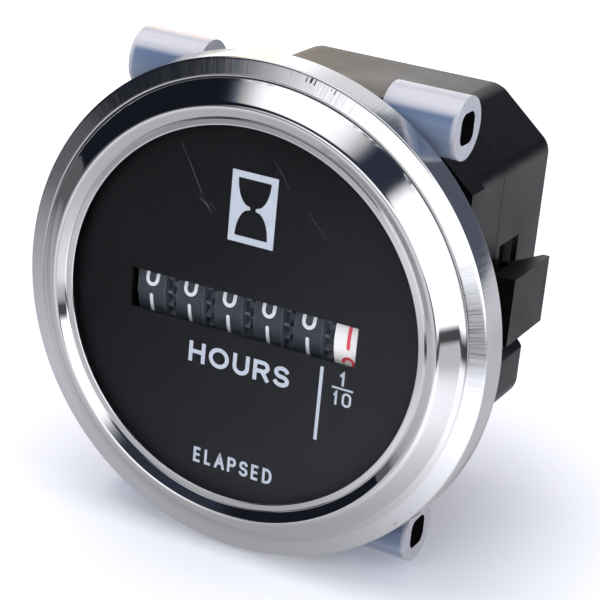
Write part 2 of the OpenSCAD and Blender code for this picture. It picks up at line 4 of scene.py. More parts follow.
import bmesh
import bpy
import numpy as np
from mathutils import Matrix


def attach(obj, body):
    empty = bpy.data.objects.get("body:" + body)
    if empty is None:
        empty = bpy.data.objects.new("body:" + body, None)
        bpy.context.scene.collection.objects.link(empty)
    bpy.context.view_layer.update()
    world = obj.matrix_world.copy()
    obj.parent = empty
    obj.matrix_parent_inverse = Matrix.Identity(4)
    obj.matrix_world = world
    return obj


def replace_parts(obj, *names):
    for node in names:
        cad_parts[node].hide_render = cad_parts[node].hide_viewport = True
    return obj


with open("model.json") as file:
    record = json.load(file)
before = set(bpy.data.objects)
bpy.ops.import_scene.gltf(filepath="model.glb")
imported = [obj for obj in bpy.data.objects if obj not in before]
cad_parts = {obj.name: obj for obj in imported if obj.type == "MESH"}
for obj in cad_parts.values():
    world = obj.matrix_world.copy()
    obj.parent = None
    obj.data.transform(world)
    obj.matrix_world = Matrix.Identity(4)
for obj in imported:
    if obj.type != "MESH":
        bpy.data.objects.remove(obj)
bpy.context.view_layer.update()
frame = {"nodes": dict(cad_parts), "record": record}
nodes = frame["nodes"]
MM = 0.001

# Sizes of the meter in millimetres, as its solids have them, with finer lines for the bezel. Pairs are a
# radius and a height in front of the panel. The row's middle lies 2.5 drums from the first one, and a
# drum's rim starts 1.7 mm from its middle.
BEZEL_R = 29.0
VIEW_R = 21.65
RIM_R = 26.3
BAND_OUT = (28.47, 3.4)
BAND_IN = (26.86, 3.87)
CREASE = (26.6, 3.64)
LENS_FRONT = 5.2
DIAL_FRONT = 3.95
DRUM_R = 6.0
DRUM_Y = 3.0
DRUM_Z = -0.2
DRUM_PITCH = 5.0
DRUM_MIDDLE = 2.5
DRUM_RIM = 1.7
DIGIT_PITCH = 2 * math.pi * DRUM_R / 10
CASE_HALF_W = 19.5
CASE_HALF_H = 21.8
CORNER_W = 7.1
CORNER_H = 6.0
CASE_BACK = 33.6
SLEEVE_Z = 23.9
SLEEVE_START = 11.25
SLEEVE_END = 20.0
PEG_END = 19.7
FLOOR_Z = -29.05
# Thickness of print, the step between strokes that cross in a letter, and thickness of dust and nick marks.
INK = 0.015
INK_STEP = 0.004
FILM = 0.003


def linear(colour):
    """Linear RGBA of an sRGB hex colour, by the sRGB curve."""
    srgb = np.array([int(colour[i:i + 2], 16) for i in (0, 2, 4)]) / 255
    rgb = np.where(srgb <= 0.04045, srgb / 12.92, ((srgb + 0.055) / 1.055) ** 2.4)
    return (*rgb.tolist(), 1.0)


def add(tree, kind, inputs=None, **settings):
    """Adds one shader node, applies its settings, and fills its inputs with values, sockets, or nodes,
    which give their first output in use."""
    node = tree.nodes.new("ShaderNode" + kind)
    for name, value in settings.items():
        setattr(node, name, value)
    for name, value in (inputs or {}).items():
        if isinstance(value, bpy.types.Node):
            value = next(socket for socket in value.outputs if socket.enabled)
        if isinstance(value, bpy.types.NodeSocket):
            tree.links.new(value, node.inputs[name])
        else:
            node.inputs[name].default_value = value
    return node


def blank(name):
    """A new material and its empty node tree."""
    material = bpy.data.materials.new(name)
    material.use_nodes = True
    material.node_tree.nodes.clear()
    return material, material.node_tree


def per_metre(size_mm):
    """Texture scale at which one feature is about this many millimetres wide."""
    return 1.0 / (size_mm * MM)


def moulded(name, dark, light, rough, grain_mm, depth_mm, specular=0.5, cloud_mm=7.0):
    """Moulded plastic or rubber: cloudy colour and gloss, and a fine grain that breaks up highlights."""
    material, tree = blank(name)
    place = add(tree, "TexCoord").outputs["Object"]
    cloud = add(tree, "TexNoise", {"Vector": place, "Scale": per_metre(cloud_mm), "Detail": 4.0})
    tone = add(tree, "Mix", {0: cloud, 6: linear(dark), 7: linear(light)}, data_type="RGBA")
    gloss = add(tree, "MapRange", {"Value": cloud, "From Min": 0.3, "From Max": 0.7,
                                   "To Min": rough - 0.05, "To Max": rough + 0.06})
    grain = add(tree, "TexNoise", {"Vector": place, "Scale": per_metre(grain_mm), "Detail": 2.0})
    bump = add(tree, "Bump", {"Height": grain, "Strength": 0.5, "Distance": depth_mm * MM})
    shader = add(tree, "BsdfPrincipled", {"Base Color": tone, "Roughness": gloss, "Normal": bump,
                                          "Specular IOR Level": specular})
    add(tree, "OutputMaterial", {"Surface": shader})
    return material


def drawn_metal(name, dark, light, rough, line_mm, stretch):
    """Drawn or ground metal: fine lines along one direction vary its tone and gloss."""
    material, tree = blank(name)
    place = add(tree, "TexCoord").outputs["Object"]
    along = add(tree, "Mapping", {"Vector": place, "Scale": stretch})
    lines = add(tree, "TexNoise", {"Vector": along, "Scale": per_metre(line_mm), "Detail": 3.0})
    tone = add(tree, "Mix", {0: lines, 6: linear(dark), 7: linear(light)}, data_type="RGBA")
    gloss = add(tree, "MapRange", {"Value": lines, "To Min": rough - 0.08, "To Max": rough + 0.1})
    bump = add(tree, "Bump", {"Height": lines, "Strength": 0.3, "Distance": 0.01 * MM})
    shader = add(tree, "BsdfPrincipled", {"Base Color": tone, "Roughness": gloss, "Normal": bump,
                                          "Metallic": 1.0})
    add(tree, "OutputMaterial", {"Surface": shader})
    return material


def polished_steel():
    """Pressed stainless steel: a mirror bevel that is worn satin below, a band with fine radial brushing,
    and painted shade in the crease between them."""
    material, tree = blank("polished_stainless_steel")
    place = add(tree, "TexCoord").outputs["Object"]
    axes = add(tree, "SeparateXYZ", {"Vector": place})
    x, y, z = (axes.outputs[axis] for axis in "XYZ")
    flat = add(tree, "CombineXYZ", {"X": x, "Z": z})
    radius = add(tree, "VectorMath", {0: flat}, operation="LENGTH")
    angle = add(tree, "Math", {0: z, 1: x}, operation="ARCTAN2")
    # brushing lines are drawn a little further apart than real ones, so that they show
    band_r, line_gap, line_length = 27.0, 0.14, 5.0
    turns = add(tree, "Math", {0: angle, 1: band_r / line_gap}, operation="MULTIPLY")
    reach = add(tree, "Math", {0: radius, 1: per_metre(line_length)}, operation="MULTIPLY")
    depth = add(tree, "Math", {0: y, 1: per_metre(line_length)}, operation="MULTIPLY")
    fan = add(tree, "CombineXYZ", {"X": turns, "Y": reach, "Z": depth})
    lines = add(tree, "TexNoise", {"Vector": fan, "Scale": 1.0, "Detail": 2.0})
    band = add(tree, "MapRange", {"Value": radius, "From Min": CREASE[0] * MM,
                                  "From Max": (CREASE[0] + 0.3) * MM})
    cloud = add(tree, "TexNoise", {"Vector": place, "Scale": per_metre(5.0), "Detail": 5.0})
    smear = add(tree, "MapRange", {"Value": cloud, "From Min": 0.35, "From Max": 0.7,
                                   "To Min": 0.03, "To Max": 0.08})
    brushed = add(tree, "MapRange", {"Value": lines, "From Min": 0.3, "From Max": 0.7,
                                     "To Min": 0.13, "To Max": 0.25})
    lower = add(tree, "MapRange", {"Value": z, "From Min": 4.0 * MM, "From Max": -16.0 * MM, "To Max": 0.14})
    outer = add(tree, "MapRange", {"Value": radius, "From Min": 24.0 * MM, "From Max": 24.6 * MM})
    worn = add(tree, "Math", {0: lower, 1: outer, 2: smear}, operation="MULTIPLY_ADD")
    gloss = add(tree, "Mix", {0: band, 2: worn, 3: brushed})
    height = add(tree, "Math", {0: lines, 1: band}, operation="MULTIPLY")
    bump = add(tree, "Bump", {"Height": height, "Strength": 0.12, "Distance": 0.01 * MM})
    tone = add(tree, "Mix", {0: band, 6: linear("CACACB"), 7: linear("D2D3D5")}, data_type="RGBA")
    # painted shade: a dark line in the crease, about 0.2 mm wide, and most of it lies above
    aside = add(tree, "Math", {0: radius, 1: CREASE[0] * MM}, operation="SUBTRACT")
    gap = add(tree, "Math", {0: aside}, operation="ABSOLUTE")
    above = add(tree, "MapRange", {"Value": z, "From Min": -12.0 * MM, "From Max": 12.0 * MM, "To Max": 0.7})
    crease_shade = add(tree, "MapRange", {"Value": gap, "From Min": 0.12 * MM, "From Max": 0.06 * MM,
                                  "To Max": above})
    tone = add(tree, "Mix", {0: crease_shade, 6: tone, 7: linear("2C2C2E")}, data_type="RGBA")
    shader = add(tree, "BsdfPrincipled", {"Base Color": tone, "Metallic": 1.0, "Roughness": gloss,
                                          "Normal": bump})
    add(tree, "OutputMaterial", {"Surface": shader})
    return material


def let_lamps_through(tree, glass, tint):
    """Ends a clear material: it is seen as glass, and its shadow is a plain tint, so lamps shine through."""
    clear = add(tree, "BsdfTransparent", {"Color": linear(tint)})
    path = add(tree, "LightPath")
    both = add(tree, "MixShader", {0: path.outputs["Is Shadow Ray"], 1: glass, 2: clear})
    add(tree, "OutputMaterial", {"Surface": both})


def clear_acrylic():
    """Clear acrylic lens: nearly unseen, with faint scuffs. Its low index keeps reflections too faint to
    leave grain on the dial."""
    material, tree = blank("clear_acrylic")
    place = add(tree, "TexCoord").outputs["Object"]
    scuff = add(tree, "TexNoise", {"Vector": place, "Scale": per_metre(4.0), "Detail": 6.0})
    gloss = add(tree, "MapRange", {"Value": scuff, "From Min": 0.5, "From Max": 0.75, "To Max": 0.008})
    glass = add(tree, "BsdfPrincipled", {"Base Color": linear("FFFFFF"), "Roughness": gloss, "IOR": 1.03,
                                         "Transmission Weight": 1.0})
    let_lamps_through(tree, glass, "FFFFFF")
    return material


def lens_dust():
    """Scratched acrylic and dust: pale, and mostly clear, so that it shows as a faint veil."""
    material, tree = blank("scratched_acrylic")
    place = add(tree, "TexCoord").outputs["Object"]
    patchy = add(tree, "TexNoise", {"Vector": place, "Scale": per_metre(0.5), "Detail": 2.0})
    veil = add(tree, "MapRange", {"Value": patchy, "From Min": 0.3, "From Max": 0.7,
                                  "To Min": 0.08, "To Max": 0.3})
    pale = add(tree, "BsdfPrincipled", {"Base Color": linear("AEB6C0"), "Roughness": 0.6})
    clear = add(tree, "BsdfTransparent")
    both = add(tree, "MixShader", {0: veil, 1: clear, 2: pale})
    add(tree, "OutputMaterial", {"Surface": both})
    return material


def clear_silicone():
    """Moulded silicone tube: milky and half clear, with painted light and shade by height: a painted white
    highlight along the top, and below it a painted blue grey shade for the dark peg behind, darkest just
    above the axis and paler towards the bottom. Its cut end is white."""
    material, tree = blank("clear_silicone")
    place = add(tree, "TexCoord").outputs["Object"]
    axes = add(tree, "SeparateXYZ", {"Vector": place})
    x, z = axes.outputs["X"], axes.outputs["Z"]
    side = add(tree, "Math", {0: z}, operation="SIGN")
    over = add(tree, "Math", {0: side, 1: -SLEEVE_Z * MM, 2: z}, operation="MULTIPLY_ADD")
    cloud = add(tree, "TexNoise", {"Vector": place, "Scale": per_metre(3.0), "Detail": 3.0})
    # painted shade: blue grey for the dark peg behind, darkest just above the axis, paler at the bottom
    deep = add(tree, "MapRange", {"Value": over, "From Min": -3.5 * MM, "From Max": 1.0 * MM})
    blue = add(tree, "Mix", {0: deep, 6: linear("C6D0E0"), 7: linear("8296B4")}, data_type="RGBA")
    # painted highlight: the top of the tube is white
    lit = add(tree, "MapRange", {"Value": over, "From Min": 1.6 * MM, "From Max": 2.1 * MM})
    far = add(tree, "Math", {0: x}, operation="ABSOLUTE")
    end = add(tree, "MapRange", {"Value": far, "From Min": (SLEEVE_END - 0.6) * MM,
                                 "From Max": (SLEEVE_END - 0.2) * MM})
    pale = add(tree, "Math", {0: lit, 1: end}, operation="MAXIMUM")
    tone = add(tree, "Mix", {0: pale, 6: blue, 7: linear("EEEDF0")}, data_type="RGBA")
    bump = add(tree, "Bump", {"Height": cloud, "Strength": 0.15, "Distance": 0.1 * MM})
    milky = add(tree, "BsdfPrincipled", {"Base Color": tone, "Roughness": 0.16, "IOR": 1.41,
                                         "Transmission Weight": 0.4, "Normal": bump})
    let_lamps_through(tree, milky, "B9C6E0")
    return material


def opened(material):
    """A finished material's node tree, its shader and its object coordinates, for adding to it."""
    tree = material.node_tree
    shader = next(node for node in tree.nodes if node.type == "BSDF_PRINCIPLED")
    return tree, shader, add(tree, "TexCoord").outputs["Object"]


def repaint(tree, shader, share, colour):
    """Lays a second colour over a shader's own by a share."""
    own = shader.inputs["Base Color"].links[0].from_socket
    tone = add(tree, "Mix", {0: share, 6: own, 7: linear(colour)}, data_type="RGBA")
    tree.links.new(tone.outputs[2], shader.inputs["Base Color"])


def dull_ends(material):
    """Sheared ends of the clamp's pegs, far out to each side and over 20 mm up or down: they don't shine."""
    tree, shader, place = opened(material)
    usual = shader.inputs["Specular IOR Level"].default_value
    axes = add(tree, "SeparateXYZ", {"Vector": place})
    side = add(tree, "Math", {0: axes.outputs["X"]}, operation="ABSOLUTE")
    tall = add(tree, "Math", {0: axes.outputs["Z"]}, operation="ABSOLUTE")
    inward = add(tree, "MapRange", {"Value": side, "From Min": (PEG_END + 0.1) * MM,
                                    "From Max": (PEG_END - 0.1) * MM, "To Max": usual})
    shine = add(tree, "MapRange", {"Value": tall, "From Min": 20.0 * MM, "From Max": 21.0 * MM,
                                   "To Min": usual, "To Max": inward})
    tree.links.new(shine.outputs["Result"], shader.inputs["Specular IOR Level"])


def faded(material, way, reach_mm, pale):
    """Painted light on ink: along a direction its colour goes over to a paler one."""
    tree, shader, place = opened(material)
    slant = add(tree, "VectorMath", {0: place, 1: way}, operation="DOT_PRODUCT")
    share = add(tree, "MapRange", {"Value": slant, "From Min": -reach_mm / 2 * MM,
                                   "From Max": reach_mm * MM})
    repaint(tree, shader, share, pale)


def paler_rims(material, pale):
    """Carry rims of the drums in a paler grey, as painted light in the shaded gaps between drums:
    what lies far from the nearest drum's middle.
    """
    tree, shader, place = opened(material)
    axes = add(tree, "SeparateXYZ", {"Vector": place})
    along = add(tree, "Math", {0: axes.outputs["X"], 1: DRUM_MIDDLE * DRUM_PITCH * MM}, operation="ADD")
    aside = add(tree, "Math", {0: along, 1: DRUM_PITCH / 2 * MM}, operation="PINGPONG")
    share = add(tree, "MapRange", {"Value": aside, "From Min": (DRUM_RIM - 0.05) * MM,
                                   "From Max": (DRUM_RIM + 0.05) * MM})
    repaint(tree, shader, share, pale)


def wound_copper():
    """Enamelled copper wire: rows of turns along the coil, drawn as a wave about 1.1 mm long."""
    material, tree = blank("enamelled_copper_wire")
    place = add(tree, "TexCoord").outputs["Object"]
    # a wave texture of scale 1 has 20 radians to the unit, so here each radian takes 0.18 mm
    turns = add(tree, "TexWave", {"Vector": place, "Scale": per_metre(0.18) / 20, "Distortion": 0.6},
                bands_direction="Y").outputs["Fac"]
    tone = add(tree, "Mix", {0: turns, 6: linear("7A3A18"), 7: linear("C87A3C")}, data_type="RGBA")
    bump = add(tree, "Bump", {"Height": turns, "Strength": 0.8, "Distance": 0.06 * MM})
    shader = add(tree, "BsdfPrincipled", {"Base Color": tone, "Metallic": 0.9, "Roughness": 0.32,
                                          "Normal": bump, "Coat Weight": 0.5})
    add(tree, "OutputMaterial", {"Surface": shader})
    return material


MATERIALS = {
    # pressed and polished stainless steel: mirror bands that show the studio
    "polished_steel": polished_steel(),
    # acrylic disc: clear, with faint scuffs
    "clear_lens": clear_acrylic(),
    # nitrile rubber: black and dull
    "seal_rubber": moulded("nitrile_rubber", "101010", "1A1A1A", 0.75, 0.2, 0.02, 0.3),
    # black screen ink on aluminium: even and satin, with very fine mottling
    "dial_black": moulded("black_dial_ink", "0F0F12", "131417", 0.6, 1.5, 0.0005, 0.08, 2.5),
    # moulded ABS: black, satin, with a soft grey sheen at flat angles
    "case_plastic": moulded("black_abs", "0A0A0A", "0F0E0D", 0.34, 0.25, 0.004, 0.22, 9.0),
    # moulded nylon: black, a little duller than the case
    "clamp_plastic": moulded("black_nylon", "0A0A0A", "100F0E", 0.38, 0.22, 0.005, 0.2, 5.0),
    # silicone tube: milky, with a painted white top and a painted blue grey shade below
    "silicone": clear_silicone(),
    # acetal, natural: ivory white, waxy
    "frame_plastic": moulded("natural_acetal", "DAD7CC", "E9E7DF", 0.4, 0.3, 0.01, 0.4),
    # acetal gears: slightly yellower
    "gear_plastic": moulded("gear_acetal", "CFCBBC", "DEDACE", 0.38, 0.3, 0.01, 0.4),
    # ground steel: bright with fine lines along the shaft
    "shaft_steel": drawn_metal("ground_steel", "9C9EA2", "C4C6CA", 0.25, 0.08, (0.06, 1.0, 1.0)),
    # black drum plastic: dark grey, satin
    "drum_black": moulded("black_drum_plastic", "292D34", "32373F", 0.5, 0.2, 0.002, 0.3, 3.0),
    # white drum plastic: a plain white, satin
    "drum_white": moulded("white_drum_plastic", "DCDADC", "ECEAEC", 0.4, 0.2, 0.004, 0.4, 3.0),
    # sintered ferrite: dark grey and gritty
    "magnet": moulded("sintered_ferrite", "2A2A2C", "3E3E41", 0.6, 0.12, 0.02, 0.5, 1.0),
    # annealed core steel: dull grey
    "core_steel": drawn_metal("core_steel", "7C7E82", "A0A2A6", 0.42, 0.15, (1.0, 0.2, 1.0)),
    # enamelled copper wire in close turns
    "copper_wire": wound_copper(),
    # solder resist on glass fibre: green with a woven mottle
    "board": moulded("solder_resist_green", "1F5A30", "2F7042", 0.35, 0.5, 0.02, 0.5, 1.2),
    # shrink sleeve: blue grey and glossy
    "capacitor_sleeve": moulded("shrink_sleeve", "2E3C56", "3D4D6B", 0.28, 0.4, 0.004, 0.5),
    # tinned brass: pale gold grey with rolling lines along the blade
    "tinned_brass": drawn_metal("tinned_brass", "A89A74", "CDBF98", 0.3, 0.12, (1.0, 0.08, 1.0)),
}
dull_ends(MATERIALS["clamp_plastic"])
# painted light: the dial goes paler towards the lower right
faded(MATERIALS["dial_black"], (1.0, 0.0, -1.0), 30.0, "26272B")
# painted light: the rims in the gaps between drums are paler, against the shade there
paler_rims(MATERIALS["drum_black"], "545A65")
# screen ink on the dial: bluish white, a little mottled
PRINT_INK = moulded("white_dial_ink", "A4ADBC", "B4BBC8", 0.5, 0.12, 0.004, 0.3, 1.5)
# ink of the numbers: brighter than the dial's print
DIGIT_INK = moulded("white_digit_ink", "C4CAD4", "D6DAE2", 0.45, 0.12, 0.004, 0.3, 1.5)
# marks in the nicks: dark and dull
NICK_MARK = moulded("dark_nick_marks", "242425", "343435", 0.5, 0.12, 0.004, 0.4, 0.5)
# ink of the tenths: a soft red
RED_INK = moulded("red_digit_ink", "C8404C", "D85460", 0.45, 0.12, 0.004, 0.3, 1.5)


def grid_quads(rows, cols, rows_close=False, cols_close=False):
    """Quads between neighbouring points of a grid; closed rows or columns wrap round to the first."""
    i, j = np.meshgrid(np.arange(rows if rows_close else rows - 1),
                       np.arange(cols if cols_close else cols - 1), indexing="ij")
    down, right = (i + 1) % rows, (j + 1) % cols
    quads = np.stack([i * cols + j, down * cols + j, down * cols + right, i * cols + right], -1)
    return quads.reshape(-1, 4)


def mesh_object(name, blocks, body, material):
    """One object from grids of points in mm: neighbours make quads, a grid's columns may close on
    themselves, its rows may close too, and open rows may be capped by their end rings."""
    points, faces, start = [], [], 0
    for grid, rows_close, cols_close, capped in blocks:
        rows, cols = grid.shape[:2]
        faces += (grid_quads(rows, cols, rows_close, cols_close) + start).tolist()
        if capped:
            ring = np.arange(cols)
            faces += [(ring + start).tolist(), (ring[::-1] + start + (rows - 1) * cols).tolist()]
        points.append(grid.reshape(-1, 3) * MM)
        start += rows * cols
    mesh = bpy.data.meshes.new(name)
    mesh.from_pydata(np.concatenate(points).tolist(), [], faces)
    bm = bmesh.new()
    bm.from_mesh(mesh)
    bmesh.ops.remove_doubles(bm, verts=bm.verts, dist=1e-7)
    bmesh.ops.recalc_face_normals(bm, faces=bm.faces)
    bm.to_mesh(mesh)
    bm.free()
    return finished(name, mesh, body, material)


def finished(name, mesh, body, material):
    """Links a mesh as an object that rides on a body, smooth but with its sharp edges kept."""
    mesh.polygons.foreach_set("use_smooth", np.ones(len(mesh.polygons), bool))
    mesh.set_sharp_from_angle(angle=math.radians(40))
    mesh.materials.clear()
    mesh.materials.append(material)
    obj = bpy.data.objects.new(name, mesh)
    bpy.context.scene.collection.objects.link(obj)
    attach(obj, body)
    return obj


def arc(centre, rx, ry, a0, a1, count):
    """Points of an ellipse: the centre plus the radii times cosine and sine, from a0 to a1 degrees."""
    t = np.radians(np.linspace(a0, a1, count))
    return np.stack([centre[0] + rx * np.cos(t), centre[1] + ry * np.sin(t)], -1)


def bezel_ring():
    """The bezel's closed profile of radius and height, turned about the meter's axis: skirt, brushed band,
    crease, bevel, ridge, inner slope, groove, lip and the sheet's back. The crease has seeded ripples
    and fades with the sine of the angle, so that the band runs smoothly into the bevel below."""
    foot = (26.02, 4.214)
    outer = [
        [(RIM_R, 0.0)],
        arc((BEZEL_R - 0.15, 0.15), 0.15, 0.15, -90, 0, 5),
        arc((28.42, 3.1), 0.3, 0.3, -5, 72, 10),
        np.linspace(BAND_OUT, BAND_IN, 12),
        arc((26.8, 3.74), 0.13, 0.13, 76, 165, 8),
        [(26.65, 3.7), CREASE, (26.56, 3.7)],
        np.linspace((26.52, 3.755), foot, 8),
        np.linspace((25.92, 4.306), (24.38, 5.727), 12),
        arc((23.825, 5.218), 0.75, 0.75, 48, 122, 18),
        np.linspace((23.39, 5.83), (22.6, 5.338), 8),
        [(22.56, 5.3), (22.5, 5.23), (22.44, 5.3)],
        np.linspace((22.38, 5.37), (21.82, 5.39), 5),
        arc((VIEW_R + 0.15, LENS_FRONT + 0.04), 0.15, 0.15, 90, 180, 6),
    ]
    inner = [(VIEW_R, LENS_FRONT + 0.01), (24.15, LENS_FRONT + 0.01), (26.0, 3.45), (26.5, 3.2),
             (27.1, 3.55), (28.0, 3.05), (28.2, 2.85), (28.5, 0.5), (RIM_R, 0.5)]
    profile = np.concatenate([np.asarray(p, float) for p in outer + [inner]])
    # the front face alone: not the sheet's back, which comes last, nor the folded rim, which lies lower
    face = (np.arange(len(profile)) < len(profile) - len(inner)) * (profile[:, 1] > 3.0)
    count = 640
    angle = np.linspace(0, 2 * np.pi, count, endpoint=False)[:, None]
    radius = np.repeat(profile[None, :, 0], count, 0)
    height = np.repeat(profile[None, :, 1], count, 0)
    ripple = np.clip(np.random.default_rng(11).normal(0, 1, (count, 1)), -1.5, 1.5)
    near_crease = np.exp(-((radius - 26.46) / 0.07) ** 2) * face * (height > CREASE[1])
    scuffed = np.clip(0.15 + 1.2 * np.sin(angle - 0.05), 0, 1)
    height = height + 0.01 * ripple * near_crease * scuffed
    smooth = np.interp(radius, (foot[0], BAND_IN[0]), (foot[1], BAND_IN[1]))
    filled = face * (radius > foot[0]) * (radius < BAND_IN[0])
    height = np.where(filled, smooth + (height - smooth) * scuffed, height)
    grid = np.stack([radius * np.cos(angle), -height, radius * np.sin(angle)], -1)
    return mesh_object("polished_bezel", [(grid, True, True, False)], "case", MATERIALS["polished_steel"])


def on_band(block, turn, lift=0.004):
    """Lays a flat block on the brushed band: u runs inward from the band's outer edge, v round the ring."""
    grid, rows, cols, capped = block
    slope = np.array(BAND_IN) - np.array(BAND_OUT)
    slope /= np.linalg.norm(slope)
    up = np.array([slope[1], -slope[0]])
    place = np.array(BAND_OUT) + grid[..., :1] * slope + (grid[..., 2:] + lift) * up
    angle = math.radians(turn) + grid[..., 1] / place[..., 0]
    return (np.stack([place[..., 0] * np.cos(angle), -place[..., 1], place[..., 0] * np.sin(angle)], -1),
            rows, cols, capped)


def band_nicks():
    """Dark marks in nicks across the brushed band: short strokes, each at an angle round the ring."""
    # each nick: its angle, where it starts and ends across the band, and half its width
    nicks = [(73.2, 0.05, 0.5, 0.06), (74.2, 0.1, 0.35, 0.04), (78.2, 0.05, 0.6, 0.07),
             (79.2, 0.08, 0.45, 0.13), (80.3, 0.1, 0.6, 0.06), (195.0, 0.3, 0.55, 0.02),
             (316.5, 0.1, 0.4, 0.03), (317.2, 0.2, 0.5, 0.025), (322.0, 0.15, 0.35, 0.025)]
    blocks = [on_band(stroke([(a, 0.0), (b, 0.03)], half, rounded=True, thick=FILM), turn)
              for turn, a, b, half in nicks]
    return mesh_object("band_nicks", blocks, "case", NICK_MARK)


def refined(path, closed, step=0.12):
    """The same line with points put in by linear interpolation, so that no piece is longer than a step."""
    starts = path if closed else path[:-1]
    spans = (np.roll(path, -1, 0) - path)[:len(starts)]
    count = np.maximum(1, np.ceil(np.linalg.norm(spans, axis=1) / step)).astype(int)
    piece = np.repeat(np.arange(len(count)), count)
    share = (np.arange(count.sum()) - (np.cumsum(count) - count)[piece]) / count[piece]
    points = starts[piece] + spans[piece] * share[:, None]
    return points if closed else np.concatenate([points, path[-1:]])


def stroke(path, half, closed=False, rounded=False, thick=INK):
    """A flat ink line: the path's points moved half a width to each side along their mitred normals,
    as a ring of four corners per point. Rounded ends narrow like the chord of a circle."""
    path = refined(np.asarray(path, float), closed)
    width = np.full(len(path), half)
    if rounded:
        t = np.radians(np.linspace(0, 88, 7))[1:]
        first, last = path[0] - path[1], path[-1] - path[-2]
        first, last = first / np.linalg.norm(first), last / np.linalg.norm(last)
        path = np.concatenate([path[0] + first * half * np.sin(t)[::-1, None], path,
                               path[-1] + last * half * np.sin(t)[:, None]])
        width = np.concatenate([half * np.cos(t)[::-1], width, half * np.cos(t)])
    ahead = np.roll(path, -1, 0) - path
    behind = path - np.roll(path, 1, 0)
    if not closed:
        ahead[-1], behind[0] = behind[-1], ahead[0]
    ahead /= np.linalg.norm(ahead, axis=1)[:, None]
    behind /= np.linalg.norm(behind, axis=1)[:, None]
    along = ahead + behind
    along /= np.linalg.norm(along, axis=1)[:, None]
    mitre = np.clip((along * ahead).sum(1), 0.45, 1)
    side = np.stack([-along[:, 1], along[:, 0]], -1) * (width / mitre)[:, None]
    return between(path + side, path - side, closed, thick)


def between(left, right, closed=False, thick=INK):
    """A flat patch between two edges, as a block of u, v and height: front and back corners per row."""
    zero, top = np.zeros((len(left), 1)), np.full((len(left), 1), thick)
    ring = np.stack([np.hstack([left, top]), np.hstack([right, top]), np.hstack([right, zero]),
                     np.hstack([left, zero])], 1)
    return ring, closed, True, not closed


def glyphs():
    """Letter and number shapes as centre lines in a box from -1 to 1, each with whether it closes."""
    oval = (np.concatenate([arc((0, 0.42), 1, 0.58, 0, 180, 17),
                            arc((0, -0.42), 1, 0.58, 180, 360, 17)]), True)
    ring = (arc((0, 0), 1, 1, 0, 360, 41)[:-1], True)
    six = np.concatenate([arc((0.1, -0.1), 1.1, 1.1, 52, 168, 14), arc((0, -0.42), 1, 0.58, 180, 540, 30)])
    stem = ([(-1, -1), (-1, 1)], False)
    bowl = (np.concatenate([[(-1, 1)], arc((0.25, 0.48), 0.72, 0.52, 90, -90, 14), [(-1, -0.04)]]), False)
    return {
        "0": [oval],
        "1": [([(-0.9, 0.45), (0.1, 1), (0.1, -1)], False)],
        "I": [([(0, -1), (0, 1)], False)],
        "2": [(np.concatenate([arc((0, 0.42), 1, 0.58, 165, -38, 18), [(-1, -1), (1, -1)]]), False)],
        "3": [(np.concatenate([arc((-0.05, 0.48), 0.95, 0.52, 150, -80, 18),
                               arc((-0.05, -0.5), 1.05, 0.5, 80, -150, 18)]), False)],
        "4": [([(0.45, -1), (0.45, 1), (-1, -0.4), (1, -0.4)], False)],
        "5": [(np.concatenate([[(0.85, 1), (-0.75, 1), (-0.88, 0.05)],
                               arc((-0.05, -0.35), 1.05, 0.65, 130, -150, 20)]), False)],
        "6": [(six, False)],
        "7": [([(-1, 1), (1, 1), (-0.2, -1)], False)],
        "8": [(arc((0, 0.5), 0.85, 0.5, 0, 360, 25)[:-1], True),
              (arc((0, -0.48), 1, 0.52, 0, 360, 25)[:-1], True)],
        "9": [(-six, False)],
        "H": [stem, ([(1, -1), (1, 1)], False), ([(-1, 0.05), (1, 0.05)], False)],
        "O": [ring],
        "U": [(np.concatenate([[(-1, 1)], arc((0, -0.25), 1, 0.75, 180, 360, 18), [(1, 1)]]), False)],
        "R": [stem, bowl, ([(0.1, -0.04), (1, -1)], False)],
        "S": [(np.concatenate([arc((0, 0.5), 0.92, 0.5, 22, 262, 20),
                               arc((0, -0.5), 1, 0.5, 82, -158, 20)]), False)],
        "E": [stem, ([(-1, 1), (1, 1)], False), ([(-1, 0.03), (0.85, 0.03)], False),
              ([(-1, -1), (1, -1)], False)],
        "L": [stem, ([(-1, -1), (1, -1)], False)],
        "A": [([(-1.1, -1), (0, 1), (1.1, -1)], False), ([(-0.62, -0.3), (0.62, -0.3)], False)],
        "P": [stem, bowl],
        "D": [(np.concatenate([[(-1, -1), (-1, 1)], arc((-0.15, 0), 1.15, 1, 90, -90, 22)]), True)],
    }


GLYPHS = glyphs()
# widths of the letters against each other
LETTER_W = {"H": 1.0, "O": 1.22, "U": 1.0, "R": 0.98, "S": 0.95, "E": 0.86, "L": 0.8, "A": 1.02, "P": 0.92,
            "D": 1.0, "1": 0.42, "0": 0.72}


def word(text, x0, x1, base, cap, half, gap):
    """A line of letters between two x places: widths by letter, equal gaps, and strokes that stay inside
    the cap height."""
    widths = np.array([LETTER_W[c] for c in text])
    room = (x1 - x0 - gap * (len(text) - 1)) / widths.sum()
    starts = x0 + np.concatenate([[0], np.cumsum(widths[:-1] * room + gap)])
    blocks = []
    for letter, start, wide in zip(text, starts, widths * room):
        scale = np.array([max(wide / 2 - half, 0.0), cap / 2 - half])
        centre = np.array([start + wide / 2, base + cap / 2])
        for layer, (path, closed) in enumerate(GLYPHS[letter]):
            upright = np.asarray(path, float) * scale
            blocks.append(stretch_ends(upright, half, closed, centre, INK + INK_STEP * layer))
    return blocks


def stretch_ends(path, half, closed, centre, thick):
    """A letter's stroke: open ends run on by half a stroke width, so that they finish square and flush."""
    if not closed:
        first, last = path[0] - path[1], path[-1] - path[-2]
        path = path.copy()
        path[0] += first / np.linalg.norm(first) * half * abs(first[1] / np.linalg.norm(first))
        path[-1] += last / np.linalg.norm(last) * half * abs(last[1] / np.linalg.norm(last))
    return stroke(path + centre, half, closed, thick=thick)


